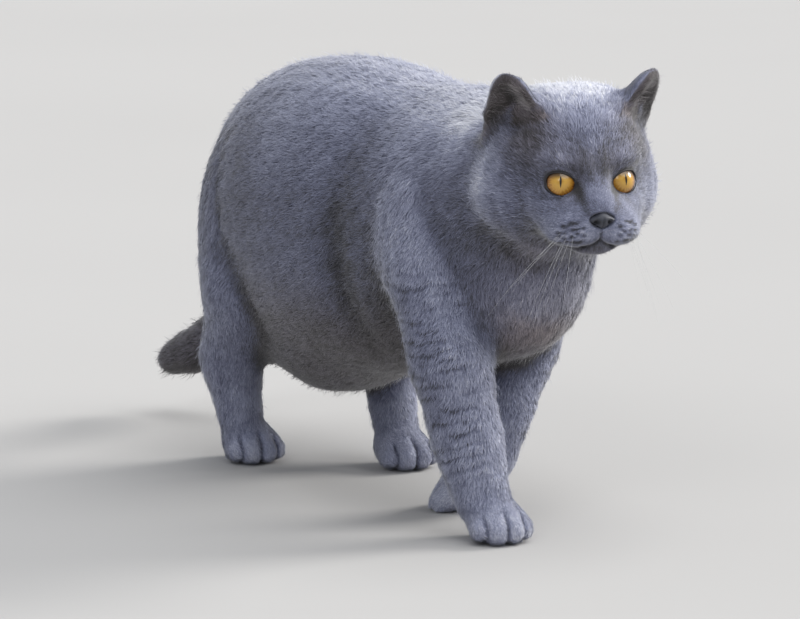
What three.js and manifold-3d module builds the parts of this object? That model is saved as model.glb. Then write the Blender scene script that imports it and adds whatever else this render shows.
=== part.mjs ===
// A British Shorthair tomcat walking, as solid parts out to the tips of its coat.
// Millimetres, +X towards the head, +Y to the cat's left, +Z up, floor at Z = 0.
import * as THREE from "three";
import { mergeVertices } from "three/addons/utils/BufferGeometryUtils.js";
import Module from "manifold-3d";

const wasm = await Module();
wasm.setup();

// Driving dimensions
const GAP = 0.3; // clearance kept between neighbouring parts
const HEAD_AT = [186, -6, 231]; // middle of the skull
const HEAD_TURN = -17; // degrees, towards the cat's right
const EYE = { radius: 11, forward: 31.5, out: 17.6, up: -2 };
const NOSE = { at: [55, 0, -20], size: [6.4, 8, 6.2] };
const EAR = {
  at: [-5, 36.4, 26], // middle of its base: forward, out, up from the skull's middle
  height: 41,
  outer: { out: 9, up: -12, radius: 17 }, // round corners of the base and the tip
  inner: { out: -26, up: -3, radius: 15 },
  back: { behind: -9, out: -15, up: -4, radius: 15 }, // the furred ridge behind it
  tip: 11.5,
  wall: 2.2,
  lean: 13, // degrees outwards
  nod: 27, // degrees forwards
  turn: 49, // degrees that the opening faces outwards
  flat: 0.5, // depth of the cup against its width
  cup: 7, // how far the hollow is pushed out of the opening
};
const PAW = { length: 46, width: 43, height: 30, middle: [0, 0, 12] };
const COLOURS = {
  coat: 0x6f727e,
  face: 0x777a87,
  tail: 0x5d5d68,
  ear: 0x64626c,
  eye: 0xd9962e,
  nose: 0x3c3f4c,
};

const RIGHT = -1;
const LEFT = 1;
const at = (x, y, z) => new THREE.Vector3(x, y, z);
const degrees = THREE.MathUtils.degToRad;

// Fields: each gives the distance from a point to a shape, negative inside it.

function egg(centre, size) {
  const middle = at(...centre);
  const radii = at(...size);
  return (point) => {
    const scaled = point.clone().sub(middle).divide(radii);
    const reach = scaled.length();
    const slope = scaled.divide(radii).length();
    return slope > 0 ? (reach * (reach - 1)) / slope : -Math.min(...size);
  };
}

function limb(start, startRadius, end, endRadius) {
  const from = at(...start);
  const along = at(...end).sub(from);
  return (point) => {
    const share = point.clone().sub(from).dot(along) / along.lengthSq();
    const nearest = THREE.MathUtils.clamp(share, 0, 1);
    const radius = THREE.MathUtils.lerp(startRadius, endRadius, nearest);
    return point.distanceTo(from.clone().addScaledVector(along, nearest)) - radius;
  };
}

// Stations of a hull along X: top, bottom and half width at each, joined smoothly.
function hull(stations) {
  const ends = [stations[0].x, stations.at(-1).x];
  const heights = new THREE.CatmullRomCurve3(stations.map((s) => at(s.x, s.bottom, s.top)));
  const widths = new THREE.CatmullRomCurve3(stations.map((s) => at(s.x, s.half, 0)));
  const shareOf = (x) => {
    const found = stations.findIndex((s) => s.x > x);
    const next = found < 1 ? (found === 0 ? 1 : stations.length - 1) : found;
    const before = stations[next - 1].x;
    const part = (x - before) / (stations[next].x - before);
    return (next - 1 + THREE.MathUtils.clamp(part, 0, 1)) / (stations.length - 1);
  };
  return (point) => {
    const share = shareOf(point.x);
    const { y: bottom, z: top } = heights.getPoint(share);
    const half = widths.getPoint(share).y;
    const tall = (top - bottom) / 2;
    const across = Math.abs(point.y) / half;
    const up = Math.abs(point.z - (top + bottom) / 2) / tall;
    const side = (Math.hypot(across, up) - 1) * Math.min(half, tall);
    const past = Math.max(ends[0] - point.x, point.x - ends[1], 0);
    return past > 0 ? Math.hypot(Math.max(side, 0), past) + Math.min(side, 0) * 0.1 : side;
  };
}

function blend(softness, ...shapes) {
  return (point) =>
    shapes.reduce((sum, shape) => {
      const next = typeof sum === "number" ? sum : sum(point);
      const other = shape(point);
      const overlap = Math.max(softness - Math.abs(next - other), 0) / softness;
      return Math.min(next, other) - (overlap * overlap * softness) / 4;
    }, Infinity);
}

const carve = (softness, shape, tool) => {
  const left = blend(softness, (point) => -shape(point), tool);
  return (point) => -left(point);
};

const grown = (shape, by) => (point) => shape(point) - by;

const STRIDES = 32; // coarse steps along a ray, then halvings of the last one
const HALVINGS = 14;

// How far a ray runs from inside a shape to its surface, at most `most`.
function reachTo(field, from, way, most) {
  const stride = most / STRIDES;
  let inner = 0;
  let outer = stride;
  const value = (distance) => field(from.clone().addScaledVector(way, distance));
  while (outer < most && value(outer) < 0) {
    inner = outer;
    outer += stride;
  }
  for (let halving = 0; halving < HALVINGS; halving += 1) {
    const middle = (inner + outer) / 2;
    if (value(middle) < 0) inner = middle;
    else outer = middle;
  }
  return inner;
}

// A closed skin round a path. The capsule's rings stand square to the path, or to `axis`
// where one is given, and its round ends fan out past the path's ends. Each point slides
// out to where the field is zero.
function skinAlong(path, field, { around, along, ends, most, axis }) {
  const curve = new THREE.CatmullRomCurve3(path.map((point) => at(...point)));
  const capsule = new THREE.CapsuleGeometry(1, 1, ends, around, along);
  const spots = capsule.getAttribute("position");
  const normals = capsule.getAttribute("normal");
  for (let index = 0; index < spots.count; index += 1) {
    const share = THREE.MathUtils.clamp(spots.getY(index) + 0.5, 0, 1);
    const centre = curve.getPointAt(share);
    const ahead = axis ? at(...axis) : curve.getTangentAt(share);
    const level = at(0, 1, 0).addScaledVector(ahead, -ahead.y).normalize();
    const third = level.clone().cross(ahead);
    const way = level.multiplyScalar(normals.getX(index));
    way.addScaledVector(ahead, normals.getY(index));
    way.addScaledVector(third, normals.getZ(index));
    way.normalize();
    const reach = reachTo(field, centre, way, most);
    centre.addScaledVector(way, reach);
    spots.setXYZ(index, centre.x, centre.y, centre.z);
  }
  return solid(capsule);
}

// A closed skin round one middle point, on a ball's grid with its poles along X.
function skinRound(middle, field, { around, rings, most }) {
  const ball = new THREE.SphereGeometry(1, around, rings).rotateZ(-Math.PI / 2);
  const spots = ball.getAttribute("position");
  const centre = at(...middle);
  for (let index = 0; index < spots.count; index += 1) {
    const way = new THREE.Vector3().fromBufferAttribute(spots, index).normalize();
    const spot = way.clone().multiplyScalar(reachTo(field, centre, way, most)).add(centre);
    spots.setXYZ(index, spot.x, spot.y, spot.z);
  }
  return solid(ball);
}

// Solids

function solid(geometry) {
  const bare = new THREE.BufferGeometry();
  bare.setAttribute("position", geometry.getAttribute("position"));
  bare.setIndex(geometry.getIndex());
  const merged = mergeVertices(bare, 1e-3);
  const corners = merged.getIndex().array;
  const kept = [];
  for (let first = 0; first < corners.length; first += 3) {
    const [a, b, c] = corners.slice(first, first + 3);
    if (a !== b && b !== c && c !== a) kept.push(a, b, c);
  }
  const mesh = new wasm.Mesh({
    numProp: 3,
    vertProperties: merged.getAttribute("position").array,
    triVerts: new Uint32Array(kept),
  });
  return new wasm.Manifold(mesh);
}

function geometryOf(shape) {
  const mesh = shape.getMesh();
  const geometry = new THREE.BufferGeometry();
  geometry.setAttribute("position", new THREE.BufferAttribute(mesh.vertProperties, 3));
  geometry.setIndex(new THREE.BufferAttribute(mesh.triVerts, 1));
  geometry.computeVertexNormals();
  return geometry;
}

const moved = (shape, matrix) => solid(geometryOf(shape).applyMatrix4(matrix));

const largest = (shape) =>
  shape.decompose().reduce((best, piece) => (piece.volume() > best.volume() ? piece : best));

// Everything behind a plane through a point, facing along `normal`, as a very large block.
function behind(point, normal) {
  const size = 1200;
  const block = new THREE.BoxGeometry(size, size, size).translate(-size / 2, 0, 0);
  const turn = new THREE.Quaternion().setFromUnitVectors(at(1, 0, 0), at(...normal).normalize());
  return solid(block.applyQuaternion(turn).translate(...point));
}

const root = new THREE.Group();

function part(name, shape, colour, roughness = 0.9) {
  const material = new THREE.MeshStandardMaterial({ color: colour, roughness, metalness: 0 });
  const mesh = new THREE.Mesh(geometryOf(shape), material);
  mesh.name = name;
  root.add(mesh);
}

// Trunk and neck: one skin from rump to skull, parted at the base of the neck.

const barrel = hull([
  { x: -200, top: 216, bottom: 142, half: 30 },
  { x: -174, top: 250, bottom: 106, half: 58 },
  { x: -136, top: 270, bottom: 80, half: 75 },
  { x: -92, top: 278, bottom: 68, half: 83 },
  { x: -50, top: 280, bottom: 68, half: 87 },
  { x: -5, top: 276, bottom: 74, half: 84 },
  { x: 40, top: 269, bottom: 86, half: 75 },
  { x: 85, top: 265, bottom: 100, half: 62 },
  { x: 118, top: 256, bottom: 118, half: 50 },
]);
const pouch = egg([-98, 0, 88], [60, 44, 39]);
const chest = egg([106, 0, 160], [60, 52, 56]);
const nape = limb([80, 0, 206], 60, [160, -5, 224], 50);
const torsoField = blend(26, barrel, pouch, chest, nape);
const torsoPath = [
  [-185, 0, 168],
  [-60, 0, 165],
  [60, 0, 175],
  [120, -1, 195],
  [168, -5, 222],
];
const TORSO_GRID = { around: 22, along: 18, ends: 3, most: 130 };
const torso = skinAlong(torsoPath, torsoField, TORSO_GRID);
const collarPoint = [108, 0, 215];
const collarNormal = [0.86, 0, 0.51];

// Legs

const DOWN = [0, 0, -1];
const HIND = { around: 12, along: 12, ends: 3, most: 90, axis: DOWN };
const FORE = { around: 12, along: 12, ends: 3, most: 70, axis: DOWN };

const legs = [
  {
    name: "leg_front_right",
    path: [[84, -44, 205], [92, -50, 150], [118, -50, 108], [128, -45, 60], [139, -40, 24]],
    field: blend(
      14,
      egg([76, -38, 184], [44, 34, 58]),
      limb([96, -48, 160], 31, [119, -51, 108], 25.5),
      limb([119, -51, 108], 25.5, [129, -45, 62], 22),
      limb([127, -45, 62], 22, [140, -40, 22], 19.5),
    ),
    shape: FORE,
    paw: { at: [149, -37, 0], heading: -12 },
  },
  {
    name: "leg_front_left",
    path: [[84, 42, 205], [80, 40, 150], [74, 31, 105], [77, 16, 70], [77, 8, 34]],
    field: blend(
      14,
      egg([74, 36, 184], [44, 33, 58]),
      limb([80, 40, 155], 30, [74, 31, 105], 24),
      limb([74, 31, 105], 24, [77, 16, 70], 20),
      limb([77, 16, 70], 20, [77, 7, 32], 17),
    ),
    shape: FORE,
    paw: { at: [66, -2, 3], heading: -150, tilt: 28 },
  },
  {
    name: "leg_hind_right",
    path: [[-150, -48, 190], [-140, -56, 140], [-142, -56, 95], [-155, -50, 62], [-150, -43, 24]],
    field: blend(
      16,
      egg([-128, -45, 162], [47, 36, 72]),
      limb([-122, -50, 122], 35, [-150, -50, 72], 20),
      limb([-152, -50, 72], 20, [-150, -43, 24], 17),
    ),
    shape: HIND,
    paw: { at: [-147, -38, 0], heading: -10 },
  },
  {
    name: "leg_hind_left",
    path: [[-135, 48, 190], [-112, 56, 140], [-100, 54, 100], [-108, 46, 64], [-86, 38, 24]],
    field: blend(
      16,
      egg([-122, 45, 162], [47, 36, 72]),
      limb([-100, 51, 122], 35, [-110, 46, 72], 20),
      limb([-110, 47, 72], 20, [-86, 38, 24], 17),
    ),
    shape: HIND,
    paw: { at: [-74, 36, 0], heading: -6 },
  },
];

// A paw on the floor at its own origin, toes along +X: a round pad with four toes.
const toes = [
  { forward: 9, out: -15.5, size: [11, 7, 10] },
  { forward: 14.5, out: -5.6, size: [11, 7.2, 11] },
  { forward: 14.5, out: 5.6, size: [11, 7.2, 11] },
  { forward: 9, out: 15.5, size: [11, 7, 10] },
];
const PAW_GRID = { around: 16, rings: 9, most: 40 };

// The paw's own ball and toes, and a short ankle that reaches up into the leg.
function pawSolid(leg, growth) {
  const ankle = at(...leg.path.at(-1)).applyMatrix4(pawMatrix(leg.paw).invert());
  const field = blend(
    5,
    egg([-3, 0, 13], [PAW.length * 0.43, PAW.width * 0.45, PAW.height * 0.5]),
    limb([-5, 0, 13], 16, ankle.toArray(), 15),
    ...toes.map((toe) => egg([toe.forward, toe.out, 8.5], toe.size)),
  );
  return moved(skinRound(PAW.middle, grown(field, growth), PAW_GRID), pawMatrix(leg.paw));
}

function pawMatrix({ at: place, heading, tilt = 0 }) {
  const matrix = new THREE.Matrix4().makeTranslation(...place);
  matrix.multiply(new THREE.Matrix4().makeRotationZ(degrees(heading)));
  return matrix.multiply(new THREE.Matrix4().makeRotationY(degrees(tilt)));
}

// Head, in its own frame: +X towards the nose, +Y left, +Z up.

const bothSides = (make) => [make(RIGHT), make(LEFT)];
const skull = blend(
  16,
  egg([-9, 0, 9], [50, 49, 45]),
  ...bothSides((side) => egg([-9, side * 19, 28], [26, 19, 22])),
  ...bothSides((side) => egg([-19, side * 26, -13], [37, 33, 31])),
  egg([32, 0, -19], [26, 26, 22]),
);
const eyeHollow = (side) => egg([43.9, side * 21, -0.8], [10, 10, 8.8]);
const headField = carve(
  3,
  blend(
    8,
    skull,
    ...bothSides((side) => egg([39, side * 13, -26], [18, 17, 12])),
    limb([33, 0, 7], 12, [50, 0, -14], 8.5),
    egg([38, 0, -36], [14, 14, 9]),
    ...bothSides((side) => egg([27, side * 19, 13], [13, 14, 8])),
  ),
  blend(1, ...bothSides(eyeHollow)),
);
const noseField = egg(NOSE.at, NOSE.size);

// An ear in its own frame: opening along +X, its base across Y, its tip up Z.
function earField(side) {
  const top = [0, 0, EAR.height - EAR.tip];
  const edge = ({ out, up, radius }) => limb([0, side * out, up], radius, top, EAR.tip);
  const leaf = blend(8, edge(EAR.outer), edge(EAR.inner));
  const { behind, out, up, radius } = EAR.back;
  const ridge = limb([behind, side * out, up], radius, [-2, 0, EAR.height - 12], 5);
  return blend(6, (point) => leaf(at(point.x / EAR.flat, point.y, point.z)) * EAR.flat, ridge);
}

function earMatrix(side) {
  const [forward, out, up] = EAR.at;
  const matrix = new THREE.Matrix4().makeTranslation(forward, side * out, up);
  matrix.multiply(new THREE.Matrix4().makeRotationX(degrees(-side * EAR.lean)));
  matrix.multiply(new THREE.Matrix4().makeRotationY(degrees(EAR.nod)));
  return matrix.multiply(new THREE.Matrix4().makeRotationZ(degrees(side * EAR.turn)));
}

const EAR_GRID = { around: 14, along: 5, ends: 3, most: 70, axis: [0, 0, 1] };

function earOuter(side, growth) {
  return skinAlong([[0, 0, -4], [0, 0, 24]], grown(earField(side), growth), EAR_GRID);
}

function earSolid(side) {
  const leaf = earField(side);
  const hollow = (point) => leaf(at(point.x - EAR.cup, point.y, point.z - 1.5)) + EAR.wall;
  const inner = skinAlong([[EAR.cup, 0, 0], [EAR.cup, 0, 20]], hollow, EAR_GRID);
  return moved(earOuter(side, 0).subtract(inner), earMatrix(side));
}

const HEAD_GRID = { around: 34, rings: 22, most: 90 };
const ROOM_GRID = { around: 26, rings: 18, most: 90 }; // coarser, for the neck's hollow
const ROOM = 6 * GAP; // extra space there, so the coarser hollow clears the head
const headSolid = (growth, grid) => skinRound([0, 0, 0], grown(headField, growth), grid);

function eyeSolid(side, growth) {
  const ball = new THREE.SphereGeometry(EYE.radius + growth, 12, 7);
  return solid(ball.translate(EYE.forward, side * EYE.out, EYE.up));
}

const headMatrix = new THREE.Matrix4()
  .makeTranslation(...HEAD_AT)
  .multiply(new THREE.Matrix4().makeRotationZ(degrees(HEAD_TURN)));
const NOSE_GRID = { around: 10, rings: 6, most: 20 };
const noseSolid = (growth) => skinRound(NOSE.at, grown(noseField, growth), NOSE_GRID);
const openings = bothSides((side) => eyeSolid(side, GAP));
const socketed = headSolid(0, HEAD_GRID).subtract(openings[0]).subtract(openings[1]);
const face = socketed.subtract(noseSolid(GAP));
const grownHead = headSolid(GAP, HEAD_GRID);
part("head", moved(face, headMatrix), COLOURS.face);
part("nose", moved(noseSolid(0), headMatrix), COLOURS.nose, 0.5);
for (const [side, word] of [[RIGHT, "right"], [LEFT, "left"]]) {
  part("eye_" + word, moved(eyeSolid(side, 0), headMatrix), COLOURS.eye, 0.1);
  const ear = largest(earSolid(side).subtract(grownHead));
  part("ear_" + word, moved(ear, headMatrix), COLOURS.ear);
}

// Tail

const tailPath = [
  [-198, 6, 184],
  [-228, 16, 150],
  [-250, 24, 112],
  [-262, 22, 78],
  [-288, 12, 52],
  [-318, 2, 40],
];
const tailField = blend(
  12,
  limb(tailPath[0], 28, tailPath[1], 22),
  limb(tailPath[1], 22, tailPath[2], 19),
  limb(tailPath[2], 19, tailPath[3], 18.5),
  limb(tailPath[3], 18.5, tailPath[4], 18),
  limb(tailPath[4], 18, tailPath[5], 15),
);
const TAIL_GRID = { around: 10, along: 9, ends: 3, most: 40 };
const tailSolid = (growth) => skinAlong(tailPath, grown(tailField, growth), TAIL_GRID);

// Assembly: paws, legs cut by the paws, trunk cut by the legs and tail.

let body = torso;
for (const leg of legs) {
  const floor = behind([0, 0, 0], [0, 0, -1]);
  const paw = pawSolid(leg, 0).intersect(floor);
  const shaft = skinAlong(leg.path, leg.field, leg.shape);
  const shaftGrown = skinAlong(leg.path, grown(leg.field, GAP), leg.shape);
  part(leg.name.replace("leg", "paw"), paw, COLOURS.coat);
  part(leg.name, shaft.subtract(pawSolid(leg, GAP)), COLOURS.coat);
  body = body.subtract(shaftGrown);
}
part("tail", tailSolid(0), COLOURS.tail);
body = body.subtract(tailSolid(GAP));
const back = behind(collarPoint, collarNormal);
const front = behind(collarPoint, collarNormal.map((value) => -value));
const step = collarNormal.map((value) => value * GAP);
part("trunk", body.intersect(back), COLOURS.coat);
const throat = body.intersect(moved(front, new THREE.Matrix4().makeTranslation(...step)));
const earRoom = bothSides((side) => moved(earOuter(side, GAP), earMatrix(side)));
const headRoom = moved(headSolid(ROOM, ROOM_GRID).add(earRoom[0]).add(earRoom[1]), headMatrix);
part("neck", throat.subtract(headRoom), COLOURS.coat);

const box = new THREE.Box3().setFromObject(root);
const centre = box.getCenter(at(0, 0, 0));
root.position.set(-centre.x, -centre.y, 0);

export default root;
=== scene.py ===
"""A life-size British Shorthair tomcat, walking: its skin, eyes, nose, whiskers and coat."""

import math

import bpy
import numpy as np
from mathutils import Matrix, Vector
from mathutils.bvhtree import BVHTree


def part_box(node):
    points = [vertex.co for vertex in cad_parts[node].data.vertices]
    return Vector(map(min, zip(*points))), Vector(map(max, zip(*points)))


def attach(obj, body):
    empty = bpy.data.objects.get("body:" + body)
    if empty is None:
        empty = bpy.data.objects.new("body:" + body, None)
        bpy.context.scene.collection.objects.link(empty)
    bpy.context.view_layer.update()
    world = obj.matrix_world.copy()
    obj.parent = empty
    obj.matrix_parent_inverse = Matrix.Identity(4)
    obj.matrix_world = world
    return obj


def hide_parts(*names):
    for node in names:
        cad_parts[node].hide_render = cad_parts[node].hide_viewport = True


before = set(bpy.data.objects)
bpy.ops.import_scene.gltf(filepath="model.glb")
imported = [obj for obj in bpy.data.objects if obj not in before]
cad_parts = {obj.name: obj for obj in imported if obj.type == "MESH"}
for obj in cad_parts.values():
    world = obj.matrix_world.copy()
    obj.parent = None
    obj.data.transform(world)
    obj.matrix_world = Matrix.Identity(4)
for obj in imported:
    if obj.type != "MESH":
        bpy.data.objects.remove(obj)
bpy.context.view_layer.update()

MM = 0.001
SEED = 41

FLESH = [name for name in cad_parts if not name.startswith(("eye_", "nose"))]
REGIONS = ["head", "ear", "neck", "trunk", "tail", "leg", "paw"]

# The coat, one row to a region, in millimetres: how deep the skin lies under the solids, and
# each tuft's length, half width, lift of its tip over the skin, and tufts to a square millimetre.
COAT = {
    "head": (2.4, 4.6, 0.20, 1.2, 3.4),
    "ear": (0.6, 2.4, 0.15, 0.5, 3.2),
    "neck": (3.6, 7.5, 0.25, 2.0, 2.1),
    "trunk": (3.4, 7.5, 0.26, 1.8, 2.05),
    "tail": (3.2, 7.5, 0.28, 2.0, 1.8),
    "leg": (2.2, 5.2, 0.24, 1.3, 1.9),
    "paw": (1.4, 3.0, 0.19, 0.7, 2.8),
}
DEPTH, LENGTH, HALF, LIFT, DENSITY = range(5)

# The same columns on the nose and on the back of the head.
FACE = ((0.7, 1.6, 0.11, 0.35, 7.5), (3.0, 6.4, 0.24, 1.7, 2.7))

VOXEL = 2.3 * MM
MOST_SKIN = 194000  # triangles
CLOSE = 1.3 * MM  # the solids swell by this to close their clearances, and go back after
FLOOR_GAP = 0.4 * MM  # the skin stays this far over the floor, and the tufts a quarter of it


def alone(piece):
    """Selects one piece and nothing else, so that an operator acts on it alone."""
    bpy.ops.object.select_all(action="DESELECT")
    piece.select_set(True)
    bpy.context.view_layer.objects.active = piece
    return piece


def apply_modifier(piece, kind, **settings):
    """Adds a modifier and makes its result the piece's mesh."""
    alone(piece)
    modifier = piece.modifiers.new(kind.lower(), kind)
    for name, value in settings.items():
        setattr(modifier, name, value)
    bpy.ops.object.modifier_apply(modifier=modifier.name)


def edit_chosen(piece, kind, elements, chosen, act, **settings):
    """Selects the chosen vertices or faces of a piece and runs one edit on them."""
    alone(piece)
    bpy.ops.object.mode_set(mode="EDIT")
    bpy.ops.mesh.select_mode(type=kind)
    bpy.ops.mesh.select_all(action="DESELECT")
    bpy.ops.object.mode_set(mode="OBJECT")
    elements.foreach_set("select", chosen)
    bpy.ops.object.mode_set(mode="EDIT")
    act(**settings)
    bpy.ops.object.mode_set(mode="OBJECT")


def read(elements, name, width=3, kind=np.float32):
    """One property of all vertices, edges or faces, a row to each."""
    values = np.empty(len(elements) * width, kind)
    elements.foreach_get(name, values)
    return values.reshape(-1, width)


def places(mesh):
    return read(mesh.vertices, "co").astype(float)


def normals_of(mesh):
    return read(mesh.vertices, "normal").astype(float)


def edges_of(mesh):
    return read(mesh.edges, "vertices", 2, np.int32)


def move_to(mesh, spots):
    mesh.vertices.foreach_set("co", spots.astype(np.float32).ravel())
    mesh.update()


def unit(vectors):
    return vectors / np.maximum(np.linalg.norm(vectors, axis=-1, keepdims=True), 1e-9)


def part_of(weights, region):
    return weights[:, REGIONS.index(region)]


def step(low, high, values):
    """0 up to low, 1 from high on, and a smooth climb between."""
    share = np.clip((values - low) / (high - low), 0, 1)
    return share * share * (3 - 2 * share)


def soften(values, pairs, rounds, share=0.5):
    """Each point's values drift towards the mean of its neighbours'."""
    count = len(values)
    first, second = pairs[:, 0], pairs[:, 1]
    near = np.maximum(np.bincount(pairs.ravel(), minlength=count), 1)[:, None]
    share = share[:, None] if isinstance(share, np.ndarray) else share
    for _ in range(rounds):
        sums = [
            np.bincount(first, column[second], count) + np.bincount(second, column[first], count)
            for column in values.T
        ]
        values = values + share * (np.stack(sums, axis=1) / near - values)
    return values


def waves(spots, scale, seed, count=9):
    """A smooth random field from about -1 to 1, with features about `scale` across."""
    chance = np.random.default_rng(seed)
    total = np.zeros(len(spots))
    for _ in range(count):
        way = unit(chance.normal(size=(1, 3)))[0] * chance.uniform(0.6, 1.5)
        total += np.sin(spots @ way * (2 * math.pi / scale) + chance.uniform(0, 2 * math.pi))
    return total / math.sqrt(count)


# The head's own axes: X towards the nose, Y to the cat's left, Z up, from the skull's middle.

eye_middles = {}
for side_word in ("left", "right"):
    low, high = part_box("eye_" + side_word)
    eye_middles[side_word] = (low + high) / 2
EYE_RADIUS = (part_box("eye_left")[1].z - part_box("eye_left")[0].z) / 2
across = eye_middles["left"] - eye_middles["right"]
across.z = 0
LEFTWARD = across.normalized()
FORWARD = LEFTWARD.cross(Vector((0, 0, 1)))
EYE_FORWARD = 31.5 * MM
EYE_OUT = across.length / 2
EYE_UP = -2 * MM
skull = (eye_middles["left"] + eye_middles["right"]) / 2 - FORWARD * EYE_FORWARD
skull.z -= EYE_UP
AXES = np.array([FORWARD, LEFTWARD, (0, 0, 1)])
SKULL = np.array(skull)


def in_head(spots):
    """Row frame metres to the head's own millimetres."""
    return (spots - SKULL) @ AXES.T / MM


def from_head(spots):
    return spots * MM @ AXES + SKULL


def mirrored(spots):
    """The same points with their Y counted outwards from the middle, and each one's side."""
    side = np.where(spots[:, 1] < 0, -1.0, 1.0)
    return np.column_stack([spots[:, 0], spots[:, 1] * side, spots[:, 2]]), side


def to_side(vectors, side):
    """Vectors told for the left side, with their Y turned to each point's own side."""
    return vectors * np.column_stack([np.ones_like(side), side, np.ones_like(side)])


def bulk(spots, middle, size):
    """1 in the middle of a soft round patch, falling to 0 outside it."""
    return np.exp(-(np.linalg.norm((spots - np.array(middle)) / size, axis=1) ** 2))


# The skin: the solids of flesh swollen until they touch, made one mesh, smoothed and let in.


def joined_flesh():
    """One piece made of all the solids, each swollen by CLOSE."""
    bpy.ops.object.select_all(action="DESELECT")
    copies = []
    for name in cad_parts:
        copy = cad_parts[name].copy()
        copy.data = copy.data.copy()
        copy.parent = None
        bpy.context.scene.collection.objects.link(copy)
        alone(copy)
        bpy.ops.object.mode_set(mode="EDIT")
        bpy.ops.mesh.select_all(action="SELECT")
        bpy.ops.mesh.remove_doubles(threshold=1e-5)
        bpy.ops.object.mode_set(mode="OBJECT")
        apply_modifier(copy, "DISPLACE", strength=CLOSE, mid_level=0.0)
        copies.append(copy)
    bpy.ops.object.select_all(action="DESELECT")
    for copy in copies:
        copy.select_set(True)
    bpy.context.view_layer.objects.active = copies[0]
    bpy.ops.object.join()
    skin = bpy.context.view_layer.objects.active
    skin.name = "skin"
    skin.data.name = "skin"
    skin.data.materials.clear()
    for key in list(skin.keys()):
        del skin[key]
    return skin


def keep_largest(piece):
    """Drops the closed shells that a remesh leaves inside."""
    mesh = piece.data
    pairs = edges_of(mesh)
    label = np.arange(len(mesh.vertices))
    while True:
        lower = label.copy()
        np.minimum.at(lower, pairs[:, 0], label[pairs[:, 1]])
        np.minimum.at(lower, pairs[:, 1], label[pairs[:, 0]])
        lower = lower[lower]
        if (lower == label).all():
            break
        label = lower
    inner = label != np.bincount(label).argmax()
    edit_chosen(piece, "VERT", mesh.vertices, inner, bpy.ops.mesh.delete, type="VERT")


def region_weights(spots):
    """How much each point belongs to each region: all of it to the region of the nearest solid."""
    points, faces, owners = [], [], []
    for name in FLESH:
        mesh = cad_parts[name].data
        region = REGIONS.index(name.split("_")[0])
        start = len(points)
        points += [tuple(vertex.co) for vertex in mesh.vertices]
        faces += [[start + index for index in face.vertices] for face in mesh.polygons]
        owners += [region] * len(mesh.polygons)
    tree = BVHTree.FromPolygons(points, faces)
    nearest = [owners[tree.find_nearest(spot)[2]] for spot in spots]
    weights = np.zeros((len(spots), len(REGIONS)))
    weights[np.arange(len(spots)), nearest] = 1
    return weights


# How strongly each region is smoothed, in each of the rounds.
SMOOTH_ROUNDS = 70
SMOOTHING = {
    "head": 0.055,
    "ear": 0.055,
    "neck": 0.45,
    "trunk": 0.5,
    "tail": 0.2,
    "leg": 0.16,
    "paw": 0.03,
}

NOSE_TIP = np.array([58.0, 0.0, -20.0])  # in the head's millimetres
NOSE_AT = np.array([55.4, 0.0, -21.1])  # the middle of the nose's leather
NOSE_SIZE = np.array([6.4, 7.8, 5.1])  # and its half sizes, for the seat in the skin
FACE_REACH = (6, 66)  # millimetres from the nose's tip, where the coat's change begins and ends


def face_share(spots):
    """0 at the nose, 1 on the back of the head: how long and deep the coat has become."""
    return step(*FACE_REACH, np.linalg.norm(in_head(spots) - NOSE_TIP, axis=1))


def coat_value(column, spots, weights):
    """One column of the coat's table at each point, finer towards the nose."""
    value = weights @ np.array([COAT[region][column] for region in REGIONS])
    share = face_share(spots)
    near_nose = FACE[0][column] + (FACE[1][column] - FACE[0][column]) * share
    return value + part_of(weights, "head") * (near_nose - COAT["head"][column])


def subdivide_where(piece, chosen):
    """Splits the faces whose middles pass a test, once."""
    faces = piece.data.polygons
    inside = chosen(in_head(read(faces, "center").astype(float)))
    edit_chosen(piece, "FACE", faces, inside, bpy.ops.mesh.subdivide, number_cuts=1)


# The eyes. Each opening is told in millimetres on the ball: towards the nose, and up.

GAZE = math.radians(14.4)  # each socket faces this far outwards
LOOK_UP = math.radians(14.0)  # and in it the ball is turned up
LOOK_RIGHT = math.radians(4.5)  # and to the cat's right
OPENING = [
    (-9.6, 2.2), (-8.6, 5.3), (-6.0, 7.4), (-1.2, 7.9), (3.6, 6.6), (7.2, 4.0), (9.5, 1.0),
    (10.3, -1.8), (8.6, -4.0), (6.0, -5.3), (2.0, -6.1), (-1.8, -6.0), (-5.4, -4.7), (-8.7, -1.9),
]
BALL = EYE_RADIUS / MM
EYE_AT = np.array([EYE_FORWARD / MM, EYE_OUT / MM, EYE_UP / MM])
LID = 0.7  # how thick the lids lie on the ball
LID_FOLD = 1.5  # and how much further the upper one swells
SOCKET = 2.5  # how far under the ball's surface the skin goes inside the opening
LID_REACH = 2.6 * BALL  # how far from the ball's middle the lids and their coat are shaped


def rounded_loop(corners, count):
    """A closed smooth curve through its corners, as `count` points."""
    corners = np.array(corners, float)
    total = len(corners)
    places_on = np.linspace(0, total, count, endpoint=False)
    which = np.floor(places_on).astype(int)
    t = (places_on - which)[:, None]
    a, b, c, d = (corners[(which + shift) % total] for shift in (-1, 0, 1, 2))
    curve = (2 * a - 5 * b + 4 * c - d) * t**2 + (3 * b - a - 3 * c + d) * t**3
    return 0.5 * (2 * b + (c - a) * t + curve)


LOOP = rounded_loop(OPENING, 96)
LOOP_ANGLE = np.arctan2(LOOP[:, 1], LOOP[:, 0])
LOOP_ORDER = np.argsort(LOOP_ANGLE)


def opening_reach(angle):
    """How far the opening's edge is from the ball's middle, seen from the front, at each angle."""
    reach = np.hypot(LOOP[:, 0], LOOP[:, 1])
    return np.interp(angle, LOOP_ANGLE[LOOP_ORDER], reach[LOOP_ORDER], period=2 * math.pi)


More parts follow.
